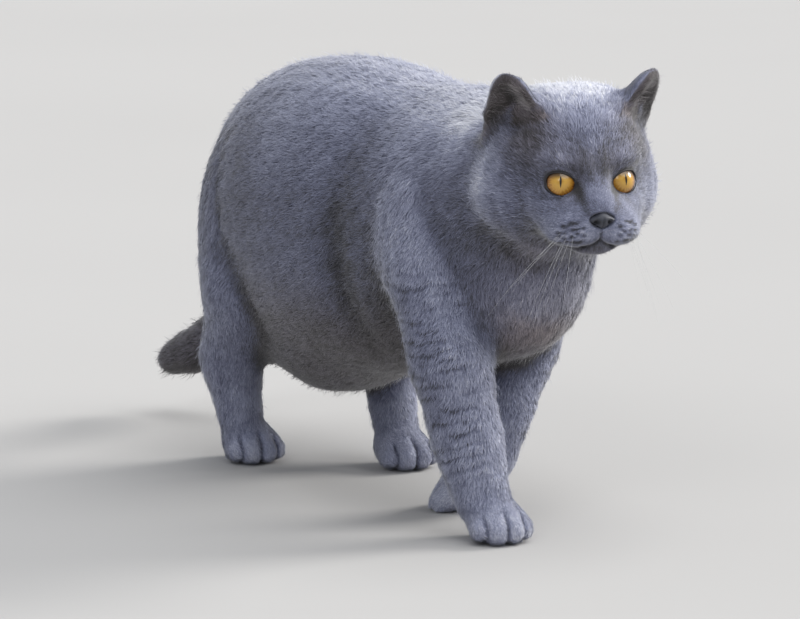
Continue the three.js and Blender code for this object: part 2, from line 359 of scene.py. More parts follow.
def eye_axes(side):
    """Rows: the way the eye looks, towards the nose, and up."""
    look = [math.cos(GAZE), side * math.sin(GAZE), 0]
    inwards = [math.sin(GAZE), -side * math.cos(GAZE), 0]
    return np.array([look, inwards, [0, 0, 1]])


def eye_middle(side):
    return EYE_AT * [1, side, 1]


def from_eye(spots, side):
    """One eye's axes to the head's."""
    return spots @ eye_axes(side) + eye_middle(side)


def round_eye(spots, side):
    """The head's points in one eye's axes, how far each is from the ball's middle and outside the
    opening's edge, and whether the lids reach it."""
    away = (spots - eye_middle(side)) @ eye_axes(side).T
    reach = np.linalg.norm(away, axis=1)
    past = np.hypot(away[:, 1], away[:, 2]) - opening_reach(np.arctan2(away[:, 2], away[:, 1]))
    return away, reach, past, (away[:, 0] > 0) & (reach < LID_REACH)


def lay_lids(spots):
    """Lays the skin round each eyeball on it as lids, and sinks it inside the opening."""
    for side in (-1, 1):
        away, reach, past, front = round_eye(spots, side)
        upper = step(1.0, 7.0, away[:, 2])
        lid = BALL + LID + LID_FOLD * upper * np.exp(-(((past - 2.4) / 2.4) ** 2))
        target = lid + (reach - lid) * step(-0.5, 7.0, past)
        target = reach + (target - reach) * step(-2.0, 4.5, away[:, 0])
        target = np.where(past < 0, BALL - SOCKET, target)
        moved = from_eye(away * (target / np.maximum(reach, 1e-6))[:, None], side)
        spots = np.where(front[:, None], moved, spots)
    return spots


def groove(spots, path, width, depth, way=(-1, 0, 0), forward=1.0):
    """Presses a furrow into both sides of the face along a path; `forward` scales X's part."""
    half = mirrored(spots)[0] * [forward, 1, 1]
    nearest = np.full(len(spots), np.inf)
    for start, end in zip(path[:-1], path[1:]):
        start, end = (np.array(corner, float) * [forward, 1, 1] for corner in (start, end))
        along = end - start
        share = np.clip((half - start) @ along / (along @ along), 0, 1)
        nearest = np.minimum(nearest, np.linalg.norm(half - start - share[:, None] * along, axis=1))
    press = depth * np.exp(-((nearest / width) ** 2))
    return spots + press[:, None] * unit(np.array(way, float)), press / depth


# Lines of the face, in the head's millimetres, the same on both sides.
PHILTRUM = [(60, 0, -25), (57.5, 0, -29), (55.5, 0, -33.2)]
MOUTH = [(55, 0, -33.2), (54, 2.6, -35.4), (51.5, 6, -37.2), (49.5, 8.5, -38.0)]
CORNER = [(49.5, 8.5, -38.0), (47, 12, -38.4), (42, 19, -37.8), (38, 24, -36)]
UNDER_PAD = [(53, 3, -36.5), (49, 8, -39), (44, 14, -40), (38, 20, -39)]
TEAR = [(43, 11.5, -2), (47, 10.2, -9), (51, 8.6, -16)]
FROWN = [(50, 3.0, 0), (46, 4.5, 9), (40, 8, 20), (30, 12, 32)]

# Furrows: path, width, depth, and the way they are pressed.
FURROWS = [
    (PHILTRUM, 1.2, 1.8, (-1, 0, 0)),
    (MOUTH, 1.5, 2.4, (-1, 0, 0.35)),
    (CORNER, 2.6, 2.0, (-1, 0, 0.35)),
]


# The ears, in the head's axes; Y is mirrored on the right.
EAR_AT = np.array([-5, 36.4, 26])
EAR_UP = np.array([0.454, 0.200, 0.868])
EAR_OPENS = np.array([0.5845, 0.669, -0.460])
EAR_ACROSS = np.cross(EAR_UP, EAR_OPENS)

# Each edge of the ear's leaf: how far up, and how far across it reaches there.
OUTER_EDGE = ((-7, 17, 35, 41, 45), (24.5, 18.3, 11.6, 7.2, 0))
INNER_EDGE = ((15, 23, 29, 35, 41, 45), (25, 20, 16.5, 12.0, 7.2, 0))


def in_ear(half):
    """Across (outwards), up and out of the opening of the ear, in millimetres."""
    away = half - EAR_AT
    return away @ EAR_ACROSS, away @ EAR_UP, away @ EAR_OPENS


def ear_rim(half):
    """1 on the outer edge of the ear's leaf, weaker on the inner one, 0 away from them."""
    across, up, out = in_ear(half)
    reach = np.where(across > 0, np.interp(up, *OUTER_EDGE), np.interp(up, *INNER_EDGE))
    edge = step(2.6, 1.2, reach - np.abs(across)) * step(-3.0, 0.0, out) * step(6, 12, up)
    return edge * np.maximum(step(-5, 2, across), 0.3)


def widen_ears(spots):
    """Fills the ear's leaf out again where the smoothing has drawn its edges in."""
    half, side = mirrored(spots)
    across, up, out = in_ear(half)
    share = step(-4, 6, up) * step(-16, -12, out) * step(9, 5, out) * step(30, 24, np.abs(across))
    outer = 3.0 * step(3, 10, across) * step(46, 20, up) - 0.5 * step(-5, -10, across)
    taller = 1.2 * step(26, 40, up)
    grown = (outer * share)[:, None] * EAR_ACROSS + (taller * share)[:, None] * EAR_UP
    return spots + to_side(grown, side)


# Swellings and hollows of the face: middle, size, and how far the skin moves out.
FORMS = [
    ((48, 12, -30.5), (12, 10, 6.5), 3.4),  # whisker pad
    ((40, 22, -31), (9, 7, 6), 2.2),  # its outer end
    ((45, 0, -46), (12, 11, 7), 1.6),  # chin, lower than the pads
    ((54, 0, -40), (5, 12, 3.5), -2.0),  # and set back under them
    ((15, 29, -42), (18, 17, 11), 6.5),  # throat under the jowl
    ((49, 11, -13), (9, 4, 7), -1.4),  # beside the nose's bridge
    ((41, 21, 10), (11, 13, 4.5), 2.5),  # brow
    ((44, 0, 8), (10, 3.0, 10), -0.8),  # between the brows
    ((30, 30, -16), (12, 13, 11), 3.8),  # cheek under the eye
    ((16, 36, -28), (18, 16, 13), 4.6),  # jowl
]


THROAT = ((8, 20, -46), (14, 22, 12), 6.0)  # middle, size, and how far forward it comes
EAR_BOWL = ((9, 38, 27), (10, 11, 8), 5.0)  # and how deep it is hollowed
NOSE_SEAT = 4.0  # how far the skin is let in behind the nose's leather


def sculpt_face(spots):
    """Raises and presses the face's forms, seats the nose and lays the lids."""
    half, side = mirrored(spots)
    outwards = unit(spots - np.array([14.0, 0, -5]))
    for middle, size, rise in FORMS:
        spots = spots + outwards * (rise * bulk(half, middle, size))[:, None]
    middle, size, forward = THROAT
    spots = spots + np.array([forward, 0, 0]) * bulk(half, middle, size)[:, None]
    for path, width, depth, way in FURROWS:
        spots = groove(spots, path, width, depth, way)[0]
    middle, size, deep = EAR_BOWL
    spots = spots - to_side(deep * bulk(half, middle, size)[:, None] * EAR_OPENS, side)
    leather = np.linalg.norm((spots - NOSE_AT) / (NOSE_SIZE + [3.0, 0.6, 0.4]), axis=1)
    spots = spots - np.array([NOSE_SEAT, 0, 0]) * step(1.05, 0.7, leather)[:, None]
    return lay_lids(widen_ears(spots))


# Swellings and hollows of the body, in the row frame's millimetres, the same on both sides.
BODY_FORMS = [
    ((68, 74, 152), (13, 34, 48), -4.0),  # behind the shoulder
    ((116, 58, 196), (28, 30, 34), 3.0),  # shoulder
    ((100, 0, 262), (36, 18, 16), 2.0),  # withers
    ((-62, 84, 190), (34, 30, 44), 2.0),  # haunch
]


def shape_body(spots, outward):
    """Raises and lowers the body's forms, along the skin's normals."""
    half = mirrored(spots / MM)[0]
    for middle, size, rise in BODY_FORMS:
        spots = spots + outward * (rise * MM * bulk(half, middle, size))[:, None]
    return spots


# The toes: furrows between them, in each paw's own millimetres.

PAW_TURN = {"front_right": -12, "front_left": -150, "hind_right": -10, "hind_left": -6}  # degrees
TOE_FURROWS = (-12.0, 1.5, 14.0)
TOE_FURROW_WIDTH = 1.5
TOE_DEPTH = 2.1


def in_paw(word, spots):
    """Forward, across and up from under the middle of a paw."""
    low, high = (np.array(corner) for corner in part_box("paw_" + word))
    turn = math.radians(PAW_TURN[word])
    away = (spots - (low + high) / 2) / MM
    ahead = away[:, 0] * math.cos(turn) + away[:, 1] * math.sin(turn)
    across = away[:, 1] * math.cos(turn) - away[:, 0] * math.sin(turn)
    return np.column_stack([ahead, across, spots[:, 2] / MM])


def toe_share(spots):
    """How deep each point lies in a furrow between two toes, from 0 to 1."""
    total = np.zeros(len(spots))
    for word in PAW_TURN:
        ahead, across, up = in_paw(word, spots).T
        here = step(5, 14, ahead) * (ahead < 40) * (np.abs(across) < 26) * step(26, 15, up)
        for furrow in TOE_FURROWS:
            middle = furrow * (0.85 + 0.15 * np.clip(ahead / 20, 0, 1))
            total += here * np.exp(-(((across - middle) / TOE_FURROW_WIDTH) ** 2))
    return np.clip(total, 0, 1)


# Folds across the front legs: short curved furrows, one over another, with gaps between.

FOLD_STEP = 7.0
FOLD_WIDTH = 0.8
FOLD_DEPTH = 0.9


def fold_share(spots, normals):
    """How deep each point lies in a fold, from 0 to 1, on the front legs' outer sides."""
    at = spots / MM
    outer = step(-0.1, 0.5, normals[:, 1] * np.sign(at[:, 1] - 4))
    fore = step(45, 75, at[:, 0])
    height = step(38, 52, at[:, 2]) * step(175, 150, at[:, 2])
    bent = 3.0 * waves(at, 60, 7) + 0.7 * waves(at, 16, 8) - 0.12 * at[:, 0]
    rows = (at[:, 2] + bent) / FOLD_STEP
    line = np.exp(-(((rows - np.round(rows)) * FOLD_STEP / FOLD_WIDTH) ** 2))
    unbroken = step(-0.45, 0.1, waves(at * [1, 1, 1.6], 26, 9))
    return line * fore * height * outer * unbroken


# Where the skin has finer faces: each tells which of the points in the head's axes are there.


def on_face(at):
    return (at[:, 0] > 12) & (np.abs(at[:, 1]) < 42) & (at[:, 2] > -50)


def round_eyes_and_mouth(at):
    from_eye = np.linalg.norm(mirrored(at)[0] - [40, 18, -2], axis=1)
    from_mouth = np.linalg.norm((at - [54, 0, -27]) / [1, 1.3, 1], axis=1)
    return (from_eye < 17) | (from_mouth < 16)


def on_ears(at):
    return (at[:, 2] > 34) & (np.abs(at[:, 1]) > 16) & (at[:, 0] < 32)


def on_paws(at):
    spots = from_head(at) / MM
    return (spots[:, 2] < 30) & (spots[:, 0] > -200)


def let_in(skin):
    """Smooths the skin and lets it in by the coat's depth, each region by its own."""
    mesh = skin.data
    spots, pairs = places(mesh), edges_of(mesh)
    weights = soften(region_weights(spots), pairs, 8)
    share = weights @ np.array([SMOOTHING[region] for region in REGIONS])
    share += 0.34 * part_of(weights, "leg") * step(0.13, 0.19, spots[:, 2])
    move_to(mesh, soften(spots, pairs, SMOOTH_ROUNDS, share))
    depth = CLOSE + coat_value(DEPTH, spots, weights) * MM
    inward = unit(soften(normals_of(mesh), pairs, 3))
    move_to(mesh, places(mesh) - inward * depth[:, None])


def build_skin():
    """The whole skin, from the solids to the toes, folds and face."""
    skin = joined_flesh()
    apply_modifier(skin, "REMESH", mode="VOXEL", voxel_size=VOXEL, adaptivity=0.0)
    keep_largest(skin)
    let_in(skin)
    for finer in (on_face, round_eyes_and_mouth, on_ears, on_paws):
        subdivide_where(skin, finer)
    mesh = skin.data
    spots, pairs = places(mesh), edges_of(mesh)
    face = in_head(spots)[:, 0] > 8
    spots = soften(spots, pairs, 6, 0.4 * face)
    half = mirrored(in_head(spots))[0]
    near_eyes = step(20, 13, np.linalg.norm(half - EYE_AT, axis=1))
    move_to(mesh, soften(spots, pairs, 24, 0.5 * near_eyes))
    spots = places(mesh)
    outward = normals_of(mesh)
    folds = fold_share(spots, outward) * (part_of(region_weights(spots), "leg") > 0.5)
    press = TOE_DEPTH * toe_share(spots) + FOLD_DEPTH * folds
    spots = shape_body(spots - outward * (press * MM)[:, None], outward)
    head = in_head(spots)
    front = head[:, 0] > -14
    spots[front] = from_head(sculpt_face(head[front]))
    spots[:, 2] = np.maximum(spots[:, 2], FLOOR_GAP)
    move_to(mesh, spots)
    mesh.calc_loop_triangles()
    apply_modifier(skin, "DECIMATE", ratio=MOST_SKIN / len(mesh.loop_triangles))
    bpy.ops.object.shade_smooth()
    return skin


# Materials


class Value:
    """A shader socket that does arithmetic: each operator adds a Math node."""

    def __init__(self, finish, socket):
        self.finish = finish
        self.socket = socket

    def _math(self, operation, other, swapped=False):
        pair = (other, self) if swapped else (self, other)
        return self.finish.node("ShaderNodeMath", {"operation": operation}, {0: pair[0], 1: pair[1]})

    def __add__(self, other):
        return self._math("ADD", other)

    __radd__ = __add__

    def __mul__(self, other):
        return self._math("MULTIPLY", other)

    __rmul__ = __mul__

    def __sub__(self, other):
        return self._math("SUBTRACT", other)

    def __rsub__(self, other):
        return self._math("SUBTRACT", other, True)

    def __truediv__(self, other):
        return self._math("DIVIDE", other)

    def __pow__(self, other):
        return self._math("POWER", other)


class Finish:
    """A material with one Principled shader, and one way to add nodes to it."""

    def __init__(self, name, **constants):
        self.material = bpy.data.materials.new(name)
        self.material.use_nodes = True
        self.tree = self.material.node_tree
        self.tree.nodes.clear()
        out = self.tree.nodes.new("ShaderNodeOutputMaterial")
        self.shader = self.tree.nodes.new("ShaderNodeBsdfPrincipled")
        self.tree.links.new(self.shader.outputs[0], out.inputs["Surface"])
        for name, value in constants.items():
            self.shader.inputs[name.replace("_", " ")].default_value = value

    def plug(self, socket, value):
        if isinstance(value, Value):
            self.tree.links.new(value.socket, socket)
        else:
            socket.default_value = value

    def node(self, kind, settings=None, sockets=None, output=0):
        made = self.tree.nodes.new(kind)
        for name, value in (settings or {}).items():
            if name == "stops":
                elements = made.color_ramp.elements
                while len(elements) < len(value):
                    elements.new(0.5)
                for element, (position, colour) in zip(elements, value):
                    element.position = position
                    element.color = (*colour, 1)
            else:
                setattr(made, name, value)
        for name, value in (sockets or {}).items():
            self.plug(made.inputs[name], value)
        return Value(self, made.outputs[output])

    def object_place(self):
        return self.node("ShaderNodeTexCoord", output="Object")

    def held(self, name):
        return self.node("ShaderNodeAttribute", {"attribute_name": name}, output="Fac")

    def noise(self, scale, detail=2.0, place=None):
        sockets = {"Vector": place or self.object_place(), "Scale": scale, "Detail": detail}
        return self.node("ShaderNodeTexNoise", None, sockets)

    def between(self, low, high, value):
        """0 at low, 1 at high, smooth between."""
        settings = {"interpolation_type": "SMOOTHSTEP"}
        sockets = {"Value": value, "From Min": low, "From Max": high}
        return self.node("ShaderNodeMapRange", settings, sockets)

    def ramp(self, value, stops):
        return self.node("ShaderNodeValToRGB", {"stops": stops}, {"Fac": value})

    def mix(self, share, first, second, blend="MIX"):
        made = self.tree.nodes.new("ShaderNodeMix")
        made.data_type = "RGBA"
        made.blend_type = blend
        for name, value in ((0, share), (6, first), (7, second)):
            if isinstance(value, tuple) and len(value) == 3:
                value = (*value, 1)
            self.plug(made.inputs[name], value)
        return Value(self, made.outputs[2])

    def parts(self, vector):
        """The three numbers of a vector."""
        split = self.node("ShaderNodeSeparateXYZ", None, {0: vector}).socket.node
        return [Value(self, output) for output in split.outputs]

    def bump(self, height, strength, distance):
        sockets = {"Height": height, "Strength": strength, "Distance": distance}
        self.feed("Normal", self.node("ShaderNodeBump", None, sockets))

    def feed(self, name, value):
        self.plug(self.shader.inputs[name], value)


# The coat's colours by tone, from the darkest, at the roots and in the deepest painted shade, to the
# palest, at the silver tips and in the painted highlights.
COAT_STOPS = [
    (0.0, (0.010, 0.010, 0.014)),
    (0.25, (0.058, 0.058, 0.073)),
    (0.5, (0.180, 0.194, 0.292)),
    (0.75, (0.415, 0.440, 0.585)),
    (1.0, (0.86, 0.87, 0.93)),
]
WARM_SHADE_AND_LINING = (1.0, 0.81, 0.61)  # what the colour is multiplied by where the painted shade is warmest, and in the ears' brown linings


def coat_finish(name, darker, hairs):
    """Fur: the tone held by the mesh, with fine streaks, and darker towards the roots."""
    finish = Finish(name, Roughness=0.62, Sheen_Weight=0.6, Sheen_Roughness=0.45)
    fine = finish.noise(420.0, 3.0)
    tone = finish.held("tone") + (fine - 0.5) * 0.14 - darker
    if hairs:
        tone = tone + (finish.held("tip") - 0.6) * 0.18
    cool = finish.ramp(tone, COAT_STOPS)
    finish.feed("Base Color", finish.mix(finish.held("warm"), cool, WARM_SHADE_AND_LINING, "MULTIPLY"))
    finish.feed("Roughness", 0.56 + fine * 0.2)
    finish.bump(finish.noise(900.0, 4.0), 0.35, 0.0006)
    return finish.material


# The stage

# Wide soft lamps: the way to each, its angle across, its strength and its colour.
LAMPS = [
    ("overhead", (0.35, 0.25, 1.0), 60, 1.8, (1.0, 1.0, 1.0)),
    ("rim", (0.15, 1.0, 0.5), 24, 2.4, (1.0, 0.98, 0.95)),
    ("window", (0.6, -0.95, 0.85), 22, 0.35, (0.96, 0.98, 1.0)),
]
SKY = ((0.88, 0.92, 1.0, 1), 0.45)  # colour and strength

# The camera, in metres and degrees.
CAMERA_AT = (2.5930, -1.6243, 0.6308)
CAMERA_TILT = 80.4
CAMERA_HEADING = 57.7
LENS = 214.65
SENSOR = 36


def set_floor():
    """A plain pale floor, wide enough for any view."""
    bpy.ops.object.select_all(action="DESELECT")
    bpy.ops.mesh.primitive_plane_add(size=40, location=(0, 0, 0))
    floor = bpy.context.object
    floor.name = "floor"
    finish = Finish("studio_floor", Roughness=0.85, Specular_IOR_Level=0.2)
    clouds = finish.mix(finish.noise(1.5), (0.52, 0.51, 0.495), (0.55, 0.54, 0.525))
    finish.feed("Base Color", clouds)
    floor.data.materials.append(finish.material)


def set_lamps():
    """A pale even sky, and the lamps, far away."""
    world = bpy.data.worlds.new("studio")
    bpy.context.scene.world = world
    world.use_nodes = True
    for socket, value in zip(world.node_tree.nodes["Background"].inputs, SKY):
        socket.default_value = value
    for name, towards, angle, power, colour in LAMPS:
        light = bpy.data.lights.new(name, "SUN")
        light.angle = math.radians(angle)
        light.energy = power
        light.color = colour
        lamp = bpy.data.objects.new(name, light)
        bpy.context.scene.collection.objects.link(lamp)
        lamp.location = Vector(towards) * 2
        lamp.rotation_euler = Vector(towards).to_track_quat("Z", "Y").to_euler()


def set_camera():
    camera = bpy.data.cameras.new("camera")
    camera.lens = LENS
    camera.sensor_width = SENSOR
    camera.clip_end = 60
    viewer = bpy.data.objects.new("camera", camera)
    bpy.context.scene.collection.objects.link(viewer)
    viewer.location = CAMERA_AT
    viewer.rotation_euler = (math.radians(CAMERA_TILT), 0, math.radians(CAMERA_HEADING))
    bpy.context.scene.camera = viewer
    bpy.context.scene.view_settings.view_transform = "Standard"


def new_piece(name, points, faces):
    mesh = bpy.data.meshes.new(name)
    mesh.from_pydata([tuple(point) for point in points], [], [tuple(face) for face in faces])
    mesh.polygons.foreach_set("use_smooth", [True] * len(mesh.polygons))
    mesh.update()
    piece = bpy.data.objects.new(name, mesh)
    bpy.context.scene.collection.objects.link(piece)
    return piece


def hold(mesh, name, values):
    """Keeps one number for each point, for the materials to read."""
    kept = mesh.attributes.new(name, "FLOAT", "POINT")
    kept.data.foreach_set("value", np.ascontiguousarray(values, np.float32))


# Eyeballs, with the iris drawn on a map of millimetres seen from the front.

EYE_MAP = 26.0  # the map is this many millimetres across
IRIS = 8.4  # the iris's radius
CORNEA_RISE = 1.1  # how far the ball's front stands out over the round
PUPIL_HALF = 0.75  # the slit's half width at its middle
PUPIL_TALL = 4.1  # and its half height
LID_SHADE = (0.6, 4.6, 0.9)  # heights where the upper lid's shade begins and is full, and how dark

# The iris, from its middle to its edge.
AMBER_STOPS = [
    (0.0, (0.38, 0.18, 0.016)),
    (0.3, (0.64, 0.37, 0.060)),
    (0.62, (0.60, 0.32, 0.045)),
    (0.85, (0.37, 0.155, 0.015)),
    (1.0, (0.11, 0.038, 0.006)),
]


def ball_turn(side):
    """Rows: the ball's own axes, in its socket's."""
    aside = side * LOOK_RIGHT
    level = np.array([math.cos(aside), math.sin(aside), 0])
    look = math.cos(LOOK_UP) * level + [0, 0, math.sin(LOOK_UP)]
    beside = np.array([-math.sin(aside), math.cos(aside), 0])
    return np.array([look, beside, np.cross(look, beside)])


def put_by_eye(mesh, spots, side):
    """Moves a mesh from one eye's axes to its place. The left one's are mirrored, so that its faces
    are turned back."""
    move_to(mesh, from_head(from_eye(spots, side)))
    if side > 0:
        mesh.flip_normals()


def build_eye(side, word):
    """An eyeball in its place, raised over the iris, and with the map of its front."""
    bpy.ops.object.select_all(action="DESELECT")
    facing = (0, math.pi / 2, 0)
    bpy.ops.mesh.primitive_uv_sphere_add(segments=64, ring_count=40, radius=BALL, rotation=facing)
    eye = bpy.context.object
    bpy.ops.object.transform_apply(location=True, rotation=True, scale=True)
    eye.name = "eyeball_" + word
    mesh = eye.data
    spots = places(mesh)
    flat = np.hypot(spots[:, 1], spots[:, 2])
    rise = CORNEA_RISE * (1 - step(0, IRIS + 1.0, flat)) * (spots[:, 0] > 0)
    spots = spots + unit(spots) * rise[:, None]
    uv = mesh.uv_layers.active.data
    for loop in mesh.loops:
        along, up = spots[loop.vertex_index][1:]
        uv[loop.index].uv = (0.5 + along / EYE_MAP, 0.5 + up / EYE_MAP)
    put_by_eye(mesh, spots @ ball_turn(side), side)
    bpy.ops.object.shade_smooth()
    mesh.uv_layers.active.name = "iris_map"
    return eye


def eye_finish():
    """Amber fibres round a slit, a dark edge to the iris, and the upper lid's shade."""
    finish = Finish("eye_wet", Roughness=0.3, Coat_Weight=0.75, Coat_Roughness=0.07, IOR=1.38)
    at = finish.node("ShaderNodeUVMap", {"uv_map": "iris_map"})
    at = finish.node("ShaderNodeVectorMath", {"operation": "SUBTRACT"}, {0: at, 1: (0.5, 0.5, 0)})
    scaled = finish.node("ShaderNodeVectorMath", {"operation": "SCALE"}, {0: at, "Scale": EYE_MAP})
    across, up, _ = finish.parts(scaled)
    reach = (across * across + up * up) ** 0.5
    angle = finish.node("ShaderNodeMath", {"operation": "ARCTAN2"}, {0: up, 1: across})
    spokes = finish.node("ShaderNodeCombineXYZ", None, {0: angle * 5.0, 1: reach * 0.16, 2: 0.0})
    fibres = finish.noise(2.6, 4.0, spokes)
    clouds = finish.noise(0.35, 2.0, scaled)
    depth = reach / IRIS + (fibres - 0.5) * 0.6 + (clouds - 0.5) * 0.25
    colour = finish.ramp(depth, AMBER_STOPS)
    from_middle = finish.node("ShaderNodeMath", {"operation": "ABSOLUTE"}, {0: across})
    taper = 1 - (up / PUPIL_TALL) * (up / PUPIL_TALL)
    slit = finish.between(0.0, 0.22, taper * PUPIL_HALF - from_middle)
    colour = finish.mix(slit, colour, (0.004, 0.003, 0.003))
    edge = finish.between(IRIS - 0.35, IRIS + 0.15, reach)
    colour = finish.mix(edge, colour, (0.012, 0.008, 0.007))
    low, high, dark = LID_SHADE
    under_lid = finish.between(low, high, up) * dark
    finish.feed("Base Color", finish.mix(under_lid, colour, (0.035, 0.018, 0.009)))
    return finish.material


def band(lower, upper, sides):
    """The faces between two rings of points, told by the first point of each."""
    turns = [(turn, (turn + 1) % sides) for turn in range(sides)]
    return [(lower + turn, lower + after, upper + after, upper + turn) for turn, after in turns]


def swept_tube(name, path, across_half, out_half, outward, sides=10):
    """A tube along a closed path, flattened: half widths across and outwards at each point."""
    path = np.array(path)
    count = len(path)
    ahead = unit(np.roll(path, -1, 0) - np.roll(path, 1, 0))
    out = unit(outward - (outward * ahead).sum(1)[:, None] * ahead)
    beside = np.cross(out, ahead)
    turns = np.linspace(0, 2 * math.pi, sides, endpoint=False)
    points = (
        path[:, None]
        + beside[:, None] * (across_half[:, None] * np.cos(turns))[..., None]
        + out[:, None] * (out_half[:, None] * np.sin(turns))[..., None]
    ).reshape(-1, 3)
    faces = []
    for ring in range(count):
        faces += band(ring * sides, (ring + 1) % count * sides, sides)
    return new_piece(name, points, faces)


RIM_OUT = 0.55  # how far the rim's middle line is over the ball


def lid_rim_finish():
    finish = Finish("lid_rim", Roughness=0.6)
    dark, light = (0.010, 0.009, 0.010), (0.030, 0.026, 0.028)
    finish.feed("Base Color", finish.mix(finish.noise(900.0), dark, light))
    return finish.material


def build_lid_rim(side, word):
    """The dark wet rim of the lids, thicker at the corner towards the nose, and thicker above, where
    it stands for the upper lid's painted shade.
    """
    flat = np.hypot(LOOP[:, 0], LOOP[:, 1])
    front = np.sqrt(np.maximum((BALL + RIM_OUT) ** 2 - flat**2, 4.0))
    local = np.column_stack([front, LOOP])
    inner = step(6.0, 9.5, LOOP[:, 0])
    upper = step(0, 5, LOOP[:, 1])
    # The widening above is painted shade of the upper lid.
    wide = 0.38 + 0.5 * inner + 0.42 * upper
    out = unit(local)
    tube = swept_tube("lid_rim_" + word, local, wide, wide * 0.75, out)
    put_by_eye(tube.data, places(tube.data), side)
    return tube


# Nose

NOSE_HALF = (6.2, 8.0, 5.3)  # half sizes: forward, across and up
NOSTRIL_PRESS = ((1.5, 1.25), (1.7, 0.55))  # the round part's size, and the slit's, as pressed in
NOSTRIL_SHADE = ((1.7, 1.4), (1.8, 0.7))  # and as darkened, for painted shade inside the nostrils
NOSE_STOPS = [
    (0.0, (0.006, 0.006, 0.008)),
    (0.5, (0.045, 0.048, 0.064)),
    (1.0, (0.085, 0.09, 0.115)),
]


def nostril(across, up, side, sizes):
    """How much each point of the leather is in one nostril's round part, and in its slit."""
    (hole_wide, hole_tall), (slit_wide, slit_tall) = sizes
    hole = ((across - side * 4.0) / hole_wide) ** 2 + ((up + 0.9) / hole_tall) ** 2
    rise = up + 2.0 - 0.35 * (side * across - 6.2)
    slit = ((across - side * 6.2) / slit_wide) ** 2 + (rise / slit_tall) ** 2
    return np.exp(-hole), np.exp(-slit)


def build_nose():
    """The nose's leather: wide above, narrow below, with nostrils and a seam pressed in."""
    bpy.ops.object.select_all(action="DESELECT")
    bpy.ops.mesh.primitive_ico_sphere_add(subdivisions=6, radius=1)
    nose = bpy.context.object
    nose.name = "nose_leather"
    x, y, z = places(nose.data).T
    narrow = 1 - 0.62 * step(0.1, -1.0, z)
    wing = np.exp(-(((np.abs(y) - 0.8) / 0.3) ** 2 + ((z + 0.1) / 0.42) ** 2))
    across = NOSE_HALF[1] * y * narrow * (1 - 0.10 * step(0.1, 1, z)) + np.sign(y) * 0.5 * wing
    up = NOSE_HALF[2] * z - 1.54 * step(0.0, 0.8, np.abs(y)) * np.maximum(z, 0)
    ahead = NOSE_HALF[0] * x
    front = step(-0.1, 0.4, x)
    seam = np.exp(-((across / 0.55) ** 2)) * step(0.5, -0.2, z)
    ahead -= front * 0.9 * seam
    dark = np.zeros(len(x))
    for side in (-1, 1):
        hole, slit = nostril(across, up, side, NOSTRIL_PRESS)
        ahead -= front * (3.0 * hole + 1.6 * slit)
        dark += sum(nostril(across, up, side, NOSTRIL_SHADE))
    hold(nose.data, "hole", np.clip(front * dark, 0, 1))
    move_to(nose.data, from_head(np.column_stack([ahead, across, up]) + NOSE_AT))
    alone(nose)
    bpy.ops.object.shade_smooth()
    return nose


def nose_finish():
    finish = Finish("nose_skin", Roughness=0.5, Coat_Weight=0.05, Coat_Roughness=0.4)
    sockets = {"Vector": finish.object_place(), "Scale": 1500.0}
    pebbles = finish.node("ShaderNodeTexVoronoi", {"feature": "F1"}, sockets)
    cloud = finish.noise(260.0, 3.0)
    # The nostrils are darker: painted shade inside them.
    tone = 0.45 + (cloud - 0.5) * 0.5 - finish.held("hole") * 0.45
    finish.feed("Base Color", finish.ramp(tone, NOSE_STOPS))
    finish.feed("Roughness", 0.46 + cloud * 0.2)
    finish.bump(pebbles, 0.3, 0.00025)
    return finish.material


# The coat


def laid_on(ways, normals):
    """The same ways, turned to lie along the surface."""
    return unit(ways - (ways * normals).sum(1)[:, None] * normals)


# The left front paw trails with its toes down, and its coat lies another way than the others'.
PAW_MARGIN = 4 * MM  # round its solid
COMB_ROUNDS = 40  # how far the regions' ways blend


def comb(spots, normals, weights, pairs):
    """The way that the coat lies at each point of the skin."""
    head = in_head(spots)
    side = mirrored(head)[1]
    forward = step(0.1, 0.8, normals[:, 0])[:, None]
    body = np.array([-1.0, 0, -0.38]) * (1 - forward) + np.array([-0.15, 0, -1.0]) * forward
    bend = step(0.11, 0.06, spots[:, 2])[:, None]
    tail = (1 - bend) * np.array([-0.5, 0.12, -0.85]) + bend * np.array([-0.9, -0.3, -0.35])
    low, high = (np.array(corner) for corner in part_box("paw_front_left"))
    trailing = ((spots > low - PAW_MARGIN) & (spots < high + PAW_MARGIN)).all(1)
    by_region = {
        "head": unit(head - NOSE_TIP) @ AXES,
        "ear": to_side(EAR_UP, side) @ AXES,
        "neck": body,
        "trunk": body,
        "tail": tail,
        "leg": np.array([-0.28, 0, -1.0]),
        "paw": np.where(trailing[:, None], [-0.55, -0.3, -0.8], [0.75, 0, -0.65]),
    }
    ways = sum(part_of(weights, region)[:, None] * by_region[region] for region in REGIONS)
    ways = laid_on(ways, normals)
    return laid_on(soften(ways, pairs, COMB_ROUNDS), normals)


FAR = 99.0  # the margin of all points that neither eye's lids reach


def opening_margin(head):
    """How far each point of the head lies outside the nearer eye's opening, in millimetres."""
    margin = np.full(len(head), FAR)
    for side in (-1, 1):
        _, _, past, near = round_eye(head, side)
        margin = np.where(near, np.minimum(margin, past), margin)
    return margin


LEAST_TONE = 0.02
MEAN_TONE = 0.47
EAR_RIM_GLOW = 0.98  # painted glow of light through the ears' edges
